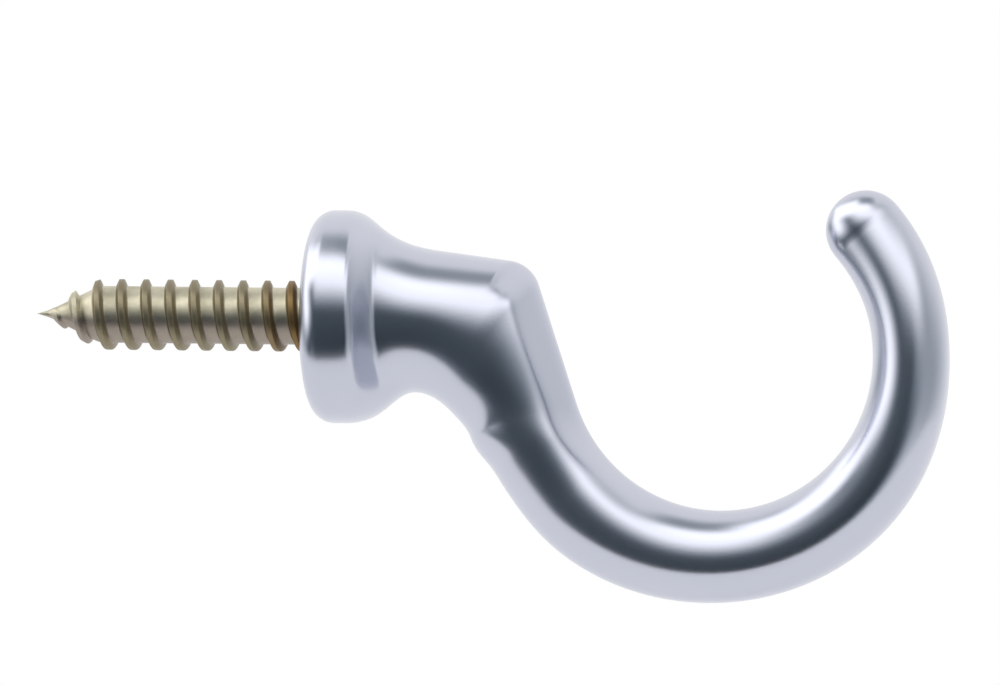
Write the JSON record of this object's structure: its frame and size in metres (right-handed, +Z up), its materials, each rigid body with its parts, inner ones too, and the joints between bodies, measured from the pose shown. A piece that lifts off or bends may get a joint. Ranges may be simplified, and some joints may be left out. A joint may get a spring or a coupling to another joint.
{
  "type": "screw hook",
  "caption": "One-piece metal hook with a round base and a sharp top corner, on a wood screw with a gimlet point, for hanging things from a wall or a shelf edge.",
  "frame": {"origin": "middle of the base's wall face, on the screw's axis", "axes": "+X points out from the wall along the screw's axis, +Z is up and the hook opens upwards, Y runs across the hook"},
  "size_m": [0.0652, 0.015, 0.0292],
  "materials": {
    "satin_chrome": "satin chrome plating on a smooth casting",
    "yellow_zinc": "yellow passivated zinc plating on rolled steel thread"
  },
  "bodies": {
    "root": {"hook_body": "satin_chrome", "wood_screw": "yellow_zinc"}
  },
  "joints": []
}
